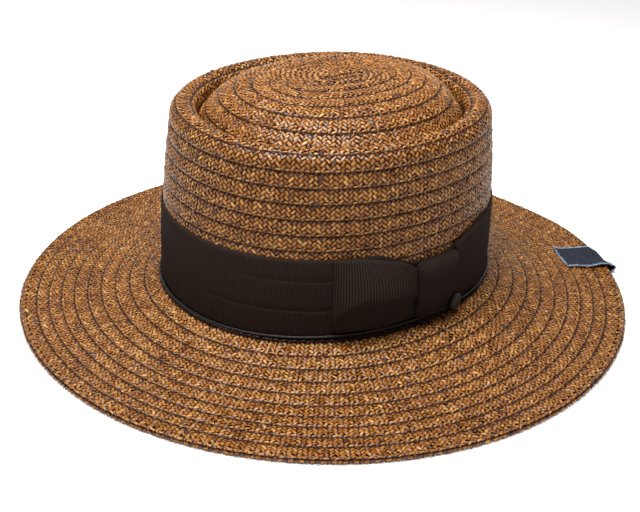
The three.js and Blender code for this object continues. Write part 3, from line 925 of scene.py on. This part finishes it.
# Ribbed weave, from a piece's UV map in millimetres: thick cords across the ribbon, with fine
# warp threads over them. It puts out a shade mask and a height.
def ribbed_weave_group():
    tree = bpy.data.node_groups.new("ribbed weave", "ShaderNodeTree")
    name_sockets(tree, "INPUT", (("Pitch", "Float", None), ("Thread Pitch", "Float", None)))
    name_sockets(tree, "OUTPUT", (("Rib", "Float", None), ("Height", "Float", None)))
    given = add_node(tree, "NodeGroupInput").outputs
    uv = uv_place(tree)
    split = add_node(tree, "ShaderNodeSeparateXYZ", {"Vector": uv}).outputs

    def ridges(place, pitch):
        turns = calculate(tree, "MULTIPLY", calculate(tree, "DIVIDE", place, pitch), math.pi)
        return calculate(tree, "ABSOLUTE", calculate(tree, "SINE", turns))

    rib = ridges(split["X"], given["Pitch"])
    thread = ridges(split["Y"], given["Thread Pitch"])
    worn = calculate(tree, "MULTIPLY_ADD", noise(tree, uv, scale=0.9, detail=3), 0.5, -0.25)
    add_node(tree, "NodeGroupOutput", {
        "Rib": calculate(tree, "ADD", rib, worn),
        "Height": calculate(tree, "MULTIPLY_ADD", thread, 0.12, rib),
    })
    return tree


ribbed_weave = ribbed_weave_group()


def ribbon_material(name, colour, shade, pitch, relief=0.6, roughness=0.85, specular=0.05):
    ribbon, tree = new_material(name)
    pitches = {"Pitch": pitch, "Thread Pitch": 0.4}
    weave = add_node(tree, "ShaderNodeGroup", pitches, node_tree=ribbed_weave).outputs
    set_shader(tree, {
        "Base Color": colour_ramp(tree, weave["Rib"], (0.25, shade), (0.95, colour)),
        "Normal": bump(tree, weave["Height"], relief, distance=0.0002),
        "Roughness": roughness,
        "Specular IOR Level": specular,
    })
    return ribbon


dark_ribbon = ribbon_material("dark ribbed ribbon", RIBBON_COLOUR, RIBBON_SHADE, RIB_PITCH)


knot_place = at_wall(np.array(KNOT_AZIMUTH), ribbon_height(0.5), BAND_OUT)
BOW_RADIUS = float(np.hypot(knot_place[0], knot_place[1]))
KNOT_START = KNOT_AZIMUTH - 0.5 * KNOT_WIDTH / BOW_RADIUS
KNOT_END = KNOT_AZIMUTH + 0.5 * KNOT_WIDTH / BOW_RADIUS


def pleat_depth(azimuth, start):
    ahead = (azimuth + math.pi) % (2 * math.pi) - math.pi
    shown = smoothstep(ahead, math.radians(start), KNOT_START)
    behind = smoothstep(ahead, KNOT_END, KNOT_END + math.radians(25))
    return PLEAT_DEPTH * shown ** 0.5 * (1 - behind)


def band_out(azimuth, share):
    out = np.full_like(azimuth, BAND_OUT)
    edge = min(share, 1 - share) * (RIBBON_TOP - RIBBON_FOOT)
    out = out - 0.25 * max(0, 1 - edge / 0.8) ** 2
    for height, start in PLEATS:
        above = (share - height) * (RIBBON_TOP - RIBBON_FOOT)
        fall = max(0, 1 - above / PLEAT_WIDTH) if above >= 0 else max(0, 1 + above / 0.7)
        out = out - pleat_depth(azimuth, start) * fall ** 1.5
    return out


# The knot draws the ribbon's upper edge down.
def band_height(azimuth, share):
    degrees = np.degrees(azimuth)
    drawn = smoothstep(degrees, *PINCH_START) * (1 - smoothstep(degrees, *PINCH_END))
    upper = max(share - PINCH_FROM, 0) / (1 - PINCH_FROM)
    return ribbon_height(share) - PINCH_DEPTH * drawn * upper


around_band = np.linspace(0, 2 * math.pi, 288, endpoint=False)
# extra levels round each pleat, where the ribbon folds
NEAR_PLEAT = np.array([-0.014, -0.007, 0.008, 0.02, 0.035])
pleat_levels = [height + NEAR_PLEAT for height, _ in PLEATS]
shares = np.unique(np.concatenate([np.linspace(0, 1, 25), *pleat_levels]))
sections = []
section_uvs = []
laps = np.append(around_band, 2 * math.pi)
walk = laps * 0.5 * (CROWN_HALF_WIDTH + CROWN_HALF_LENGTH)
for share in shares:
    sections.append(at_wall(around_band, band_height(around_band, share), band_out(around_band, share)))
    lean = 3.0 * pleat_depth(laps, 0) * (0.5 - share)
    section_uvs.append(beside(walk + lean, ribbon_height(share)))
for share in (1.0, 0.5, 0.0):
    inner = np.full_like(around_band, BAND_IN)
    sections.append(at_wall(around_band, band_height(around_band, share), inner))
    section_uvs.append(beside(walk, ribbon_height(share)))
section_uvs.append(section_uvs[0])
ribbon_band = skin("ribbon_wrap", sections, section_uvs, dark_ribbon, True, True)
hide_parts("ribbon_band")
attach(ribbon_band, "root")
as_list(crown_pieces[2:3])


# The bow.
# A loop of the same ribbon is folded flat in front of the knot, its ridge pressed up by the knot
# that pinches it. The knot is a turn of ribbon over the middle, and the tail lies flat behind it.

RIBBON_WIDTH = 48
BOW_SPREAD = 60
BOW_IN = 2.5
TAIL_IN = 2.8
LOOP_LENGTH = 48
LOOP_PROUD = 8.0
LOOP_HEM = 0.6
KNOT_PROUD = 6.5
TAIL_LENGTH = 40
TAIL_THICKNESS = 1.0
KNOT_COLOUR = (0.022, 0.0145, 0.0115)
KNOT_SHADE = (0.014, 0.0095, 0.0075)
# along, top, bottom, ridge, proud
LOOP_SECTIONS = np.array([
    (0.00, 1.01, 0.13, 0.22, 0.24),
    (0.11, 1.01, 0.11, 0.35, 0.62),
    (0.28, 1.00, 0.11, 0.49, 0.90),
    (0.46, 0.97, 0.11, 0.52, 1.00),
    (0.64, 0.92, 0.11, 0.50, 0.95),
    (0.82, 0.86, 0.12, 0.46, 0.78),
    (1.00, 0.75, 0.14, 0.43, 0.50),
])
# along, top, bottom, proud
KNOT_SECTIONS = np.array([
    (0.00, 0.79, 0.13, 0.62),
    (0.10, 0.81, 0.11, 0.92),
    (0.45, 0.82, 0.11, 1.00),
    (0.72, 0.82, 0.13, 1.00),
    (0.92, 0.82, 0.27, 0.92),
    (1.00, 0.80, 0.31, 0.60),
])
# along, top, bottom
TAIL_SECTIONS = np.array([
    (0.00, 0.86, 0.21),
    (0.30, 0.96, 0.15),
    (0.60, 1.00, 0.12),
    (0.88, 1.00, 0.14),
    (1.00, 1.00, 0.40),
])


# A smooth curve through the rows of a table, read at places along its first column.
def eased(table, where):
    table = np.asarray(table, dtype=float)
    where = np.atleast_1d(where)
    knots = table[:, 0]
    slopes = np.gradient(table[:, 1:], knots, axis=0)
    index = np.clip(np.searchsorted(knots, where, side="right") - 1, 0, len(knots) - 2)
    span = (knots[index + 1] - knots[index])[:, None]
    t = ((where - knots[index])[:, None]) / span
    first = table[index, 1:]
    last = table[index + 1, 1:]
    cubic = 2 * t ** 3 - 3 * t ** 2
    leaving = (t ** 3 - 2 * t ** 2 + t) * slopes[index]
    arriving = (t ** 3 - t ** 2) * slopes[index + 1]
    return (cubic + 1) * first - cubic * last + span * (leaving + arriving)


def outline_through(points, count):
    points = np.asarray(points, dtype=float)
    steps = np.hypot(np.diff(points[:, 0]) * RIBBON_WIDTH, np.diff(points[:, 1]))
    walked = np.concatenate([[0], np.cumsum(steps)])
    return eased(np.column_stack([walked, points]), np.linspace(0, walked[-1], count))


# A ribbon's rounded face from its top edge to its bottom edge, closed by a flat rear.
def closed_section(top, bottom, front):
    rear = [(bottom, 0), (0.5 * (bottom + top), 0), (top, 0)]
    return np.concatenate([outline_through(front, 26), rear])


def ring_uv(walk, height):
    return np.stack([np.append(walk, walk[0]), np.append(height, height[0])], axis=-1)


def loop_ring(row):
    top, bottom, ridge, proud = row
    out = LOOP_PROUD * proud
    front = [
        (top, 0.22 * out + LOOP_HEM),
        (ridge + (top - ridge) * 0.55, 0.72 * out),
        (ridge + (top - ridge) * 0.15, 0.97 * out),
        (ridge, out),
        (ridge + (bottom - ridge) * 0.1, 0.72 * out),
        (ridge + (bottom - ridge) * 0.5, 0.5 * out),
        (bottom, 0.3 * out + LOOP_HEM),
    ]
    return closed_section(top, bottom, front)


loop_end = KNOT_START - CLEARANCE / BOW_RADIUS
loop_start = loop_end - LOOP_LENGTH / BOW_RADIUS
loop_along = np.concatenate([[0.0, 0.012, 0.03], np.linspace(0.06, 1, 26)])
rings = []
ring_uvs = []
for along, row in zip(loop_along, eased(LOOP_SECTIONS, loop_along)):
    ring = loop_ring(row)
    swell = min(1.0, 0.35 + along / 0.03)
    azimuth = np.full(len(ring), loop_start + (loop_end - loop_start) * along)
    rings.append(at_wall(azimuth, ribbon_height(ring[:, 0]), BOW_IN + ring[:, 1] * swell))
    bow = 12 * along ** 1.5 * (1 - ((ring[:, 0] - 0.6) / 0.5) ** 2)
    ring_uvs.append(ring_uv(LOOP_LENGTH * along - bow, BOW_SPREAD * ring[:, 0]))
loop = skin("bow_loop_ribbon", rings, ring_uvs, dark_ribbon, False, True, capped=True)


def knot_ring(row):
    top, bottom, proud = row
    out = KNOT_PROUD * proud
    front = [
        (top, 0.45 * out),
        (top + (bottom - top) * 0.05, 0.8 * out),
        (top + (bottom - top) * 0.17, out),
        (top + (bottom - top) * 0.45, out),
        (top + (bottom - top) * 0.75, 0.95 * out),
        (bottom, 0.6 * out),
    ]
    return closed_section(top, bottom, front)


knot_ribbon = ribbon_material("knot ribbon", KNOT_COLOUR, KNOT_SHADE, pitch=0.7)
knot_along = np.concatenate([[0.0, 0.02, 0.05], np.linspace(0.1, 0.92, 16), [0.96, 1.0]])
rings = []
ring_uvs = []
for along, row in zip(knot_along, eased(KNOT_SECTIONS, knot_along)):
    ring = knot_ring(row)
    azimuth = np.full(len(ring), KNOT_START + (KNOT_END - KNOT_START) * along)
    rings.append(at_wall(azimuth, ribbon_height(ring[:, 0]), BOW_IN + ring[:, 1]))
    height = np.full(len(ring), KNOT_WIDTH * along)
    ring_uvs.append(ring_uv(BOW_SPREAD * ring[:, 0] + 3 * ring[:, 1], height))
knot = skin("bow_knot_ribbon", rings, ring_uvs, knot_ribbon, False, True, capped=True)

tail_start = KNOT_END + CLEARANCE / BOW_RADIUS
tail_along = np.linspace(0, 1, 22)
rings = []
ring_uvs = []
for along, row in zip(tail_along, eased(TAIL_SECTIONS, tail_along)):
    top, bottom = row
    levels = np.linspace(bottom, top, 12)
    swell = 0.5 * math.sin(math.pi * along) * np.sin(math.pi * np.linspace(0, 1, 12)) ** 2
    outs = np.concatenate([TAIL_THICKNESS + swell, np.zeros(12)])
    levels = np.concatenate([levels, levels[::-1]])
    azimuth = np.full(24, tail_start + TAIL_LENGTH / BOW_RADIUS * along)
    rings.append(at_wall(azimuth, ribbon_height(levels), TAIL_IN + outs))
    ring_uvs.append(ring_uv(TAIL_LENGTH * along + 4 * (levels - 0.5), RIBBON_WIDTH * levels))
rings = [ring[::-1] for ring in rings]
ring_uvs = [uv[::-1] for uv in ring_uvs]
tail = skin("bow_tail_ribbon", rings, ring_uvs, dark_ribbon, False, True, capped=True)

for piece, node in ((loop, "bow_loop"), (knot, "bow_knot"), (tail, "bow_tail")):
    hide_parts(node)
    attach(piece, "root")


# The guard cord.
# A thin black braided cord goes round the foot of the ribbon, and is hooked over the button.
# It is one closed ring, held by the hat all the way.

CORD_RADIUS = 0.7
CORD_OUT = 3.2
CORD_RISE = 2.8
CORD_WAVE = 1.0
CORD_SIDES = 10
CORD_RING_RADIUS = 98
CORD_COLOUR = (0.008, 0.007, 0.0065)
CORD_SHADE = (0.004, 0.0035, 0.0032)
FOOT = FOOT_HEIGHT + CORD_RISE

black_cord = ribbon_material(
    "black braided cord", CORD_COLOUR, CORD_SHADE, pitch=1.1, relief=0.35, roughness=0.45, specular=0.4
)

rings = []
ring_uvs = []
around_cord = np.linspace(0, 2 * math.pi, 240, endpoint=False)
laps = np.append(around_cord, 2 * math.pi)
for side in range(CORD_SIDES):
    turn = side / CORD_SIDES * 2 * math.pi
    height = FOOT - CORD_WAVE * np.cos(2 * around_cord)
    out = CORD_OUT + CORD_RADIUS * math.cos(turn)
    rings.append(at_wall(around_cord, height - CORD_RADIUS * math.sin(turn), out))
for side in range(CORD_SIDES + 1):
    round_cord = 2 * math.pi * CORD_RADIUS * side / CORD_SIDES
    ring_uvs.append(np.stack([laps * CORD_RING_RADIUS + round_cord, laps * 0 + round_cord], axis=-1))
cord = skin("guard_cord_braid", rings[::-1], ring_uvs[::-1], black_cord, True, True)
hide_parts("guard_cord")
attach(cord, "root")


# The button.
# A small domed button of dark horn holds the cord's loop behind the knot. It is sewn on
# through its shank.

BUTTON_HALF = 1.7
BUTTON_AZIMUTH = math.radians(105.6)
BUTTON_HEIGHT = 23.0
BUTTON_OUT = CORD_OUT + CORD_RADIUS + CLEARANCE + BUTTON_HALF

horn, tree = new_material("dark horn")
streaks = noise(tree, object_place(tree), scale=650, detail=4, distortion=1.2)
set_shader(tree, {
    "Base Color": colour_ramp(tree, streaks, (0.3, (0.012, 0.010, 0.009)), (0.75, (0.042, 0.035, 0.030))),
    "Normal": bump(tree, streaks, strength=0.25, distance=0.0002),
    "Roughness": 0.6,
    "Specular IOR Level": 0.2,
})

button_place = at_wall(np.array(BUTTON_AZIMUTH), BUTTON_HEIGHT, BUTTON_OUT)
outwards = np.array([math.sin(BUTTON_AZIMUTH), -math.cos(BUTTON_AZIMUTH), 0])
sideways = np.array([math.cos(BUTTON_AZIMUTH), math.sin(BUTTON_AZIMUTH), 0])
upwards = np.array([0, 0, 1])
# radius and depth along the button's axis, from the middle of its back to the middle of its face
PROFILE = (
    (0.01, -1.7), (1.6, -1.7), (3.2, -1.68), (4.2, -1.4), (4.7, -0.8), (4.9, -0.1), (4.8, 0.45),
    (4.5, 0.95), (4.1, 1.2), (3.7, 1.22), (3.3, 1.12), (2.5, 1.3), (1.6, 1.52), (0.8, 1.64), (0.01, 1.68),
)
rings = []
turns = np.linspace(0, 2 * math.pi, 40, endpoint=False)
for radius, depth in PROFILE:
    circle = np.cos(turns)[:, None] * sideways + np.sin(turns)[:, None] * upwards
    rings.append(button_place + radius * circle + depth * outwards)
flat = np.zeros((len(PROFILE), len(turns) + 1, 2))
button = skin("wind_button_horn", rings[::-1], flat, horn, False, True, capped=True)
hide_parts("wind_button")
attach(button, "root")


# The denim tab.
# A blank strip of dark blue denim is folded over the brim's edge at the back and sewn down. Its cut
# edges are frayed, and one corner flares where it passes over the edge.

TAB_CORNERS = ((50.6, 150.6), (72.1, 142.0))
TAB_AT_EDGE = ((59.6, 176.3), (84.5, 164.9))
TAB_THICKNESS = 0.9
TAB_BELOW = 14.0
TAB_HALF_WIDTH = 12
# along the cloth: the length on top, the fold's start and steps, and the start of the end underneath
TAB_ON_TOP = 29
FOLD_START = 30.5
FOLD_STEP = 1.2
BELOW_START = 38

denim, tree = new_material("dark blue denim")
uv = uv_place(tree)
turned = add_node(tree, "ShaderNodeMapping", {"Vector": uv, "Rotation": (0, 0, math.radians(62))})
twill = add_node(tree, "ShaderNodeTexWave", {
    "Vector": turned.outputs["Vector"],
    "Scale": 0.42,
    "Distortion": 1.2,
    "Detail": 2,
    "Detail Scale": 2.5,
})
weave = calculate(tree, "MULTIPLY", twill.outputs["Fac"], noise(tree, uv, scale=0.8))
set_shader(tree, {
    "Base Color": colour_ramp(tree, weave, (0.25, (0.002, 0.0025, 0.004)), (0.35, (0.046, 0.055, 0.085))),
    "Normal": bump(tree, weave, strength=0.6, distance=0.0002),
    "Roughness": 0.85,
    "Specular IOR Level": 0.1,
})

thread_blue, tree = new_material("frayed pale blue thread")
tone = mark(tree, "tone")
set_shader(tree, {
    "Base Color": colour_ramp(tree, tone, (0.2, (0.018, 0.032, 0.075)), (0.85, (0.42, 0.52, 0.66))),
    "Roughness": 0.9,
})


def brim_raised(x, y, up):
    azimuth = np.arctan2(x, -y)
    radius = np.hypot(x, y)
    inner = np.hypot(*on_oval(azimuth, CROWN_HALF_WIDTH, CROWN_HALF_LENGTH, CROWN_SQUARENESS))
    outer = np.hypot(*on_oval(azimuth, BRIM_HALF_WIDTH, BRIM_HALF_LENGTH, 2))
    share = np.minimum((radius - inner) / (outer - inner), 1.0)
    return at_brim(azimuth, share, up)[..., 2]


across = np.linspace(-1, 1, 16)
half = (across + 1)[:, None] / 2
inner_line = np.array(TAB_CORNERS[0]) * (1 - half) + np.array(TAB_CORNERS[1]) * half
edge_line = np.array(TAB_AT_EDGE[0]) * (1 - half) + np.array(TAB_AT_EDGE[1]) * half
edge_line = edge_line - unit(edge_line) * 2.2 * smoothstep(-across, 0.5, 1.0)[:, None]
flare = smoothstep(across, 0.35, 1.0)
sheet_rows = []
sheet_uvs = []


def lay_across(spot, z, down):
    sheet_rows.append(np.column_stack([spot, z]))
    sheet_uvs.append(np.column_stack([across * TAB_HALF_WIDTH, np.full(len(across), down)]))


for along in np.linspace(0, 1, 22):
    spot = inner_line + (edge_line - inner_line) * along
    lift = STRAW + ROW_LIFT + CLEARANCE + 0.5 * TAB_THICKNESS + 0.1
    curl = 2.6 * np.clip(1 - along / 0.2, 0, 1) ** 2 * np.clip(-across - 0.3, 0, 1)
    open_side = 1.5 * flare * smoothstep(along, 0.35, 0.8) + 0.4 * math.sin(8 * along) * flare
    lay_across(spot, brim_raised(spot[:, 0], spot[:, 1], lift) + curl + open_side, along * TAB_ON_TOP)
radial = unit(edge_line)
base = brim_raised(edge_line[:, 0], edge_line[:, 1], 0.0)
# out past the brim's edge and up from its foot, and how much higher the flared corner is there
TAB_FOLD = (
    (1.1, 3.3, 1.3),
    (1.9, 2.6, 1.3),
    (2.2, 1.7, 0.8),
    (2.0, 0.8, 0.0),
    (1.4, 0.0, -0.9),
    (0.0, -0.45, -0.9),
)
for step, (out, up, raised) in enumerate(TAB_FOLD):
    reach = out * (1 + 1.5 * flare)
    spot = edge_line + radial * reach[:, None]
    lay_across(spot, base + up + raised * flare, FOLD_START + step * FOLD_STEP)
for inwards in (3, 6, 9, 12, TAB_BELOW):
    spot = edge_line - radial * inwards
    under = brim_raised(spot[:, 0], spot[:, 1], -CLEARANCE - 0.5 * TAB_THICKNESS)
    lay_across(spot, under, BELOW_START + inwards)
tab = skin("denim_tab_cloth", sheet_rows, sheet_uvs, denim, False, False)
thick = tab.modifiers.new("thickness", "SOLIDIFY")
thick.thickness = TAB_THICKNESS * 0.001
thick.offset = 0
round_off = tab.modifiers.new("soft edges", "SUBSURF")
round_off.levels = 1
round_off.render_levels = 1

# Loose threads stand out of the cut edges.
sheet = np.asarray(sheet_rows)
spots, ways, ups = [], [], []


def fray(line, away, count, spread):
    picks = rng.random(count) * (len(line) - 1)
    low = picks.astype(int)
    part = (picks - low)[:, None]
    spot = line[low] * (1 - part) + line[low + 1] * part
    outward = away[low] * (1 - part) + away[low + 1] * part
    run = unit(line[np.minimum(low + 1, len(line) - 1)] - line[low])
    lean = rng.normal(0, 0.9, (count, 1))
    rise = rng.normal(0.15, 0.35, (count, 1)) * np.array([0, 0, 1.0])
    way = unit(outward + run * lean + rise)
    beyond = outward * (0.1 + spread * rng.random((count, 1)))
    spots.append(spot + beyond + np.array([0, 0, 0.25]) * rng.normal(0.4, 0.5, (count, 1)))
    ways.append(way)
    ups.append(unit(np.array([0, 0, 1.0]) + 0.5 * rng.normal(0, 1, (count, 3))))


fray(sheet[:28, -1], unit(sheet[:28, -1] - sheet[:28, -3]), count=520, spread=0.6)
fray(sheet[:26, 0], unit(sheet[:26, 0] - sheet[:26, 2]), count=320, spread=0.4)
fray(sheet[0], unit(sheet[0] - sheet[1]), count=120, spread=0.2)
fray(sheet[24], unit(sheet[24] - sheet[20]), count=180, spread=0.2)
spot = np.concatenate(spots)
way = np.concatenate(ways)
up_way = np.concatenate(ups)
up_way = unit(up_way - way * np.sum(up_way * way, axis=1, keepdims=True))
still = np.zeros(len(spot))
threads = float_points("denim_tab_fringe", (spot, up_way, way, still, still))
fringe_settings = {
    "Float Length": 0.0019,
    "Float Width": 0.00038,
    "Bulge": 0.00012,
    "Tuck": 0.0003,
    "Points Along": 4,
    "Straw": thread_blue,
}
fringe = grow("denim_tab_fringe", threads, plait, fringe_settings)
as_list(brim_pieces[:1])

for piece in (tab, fringe):
    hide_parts("denim_tab")
    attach(piece, "root")
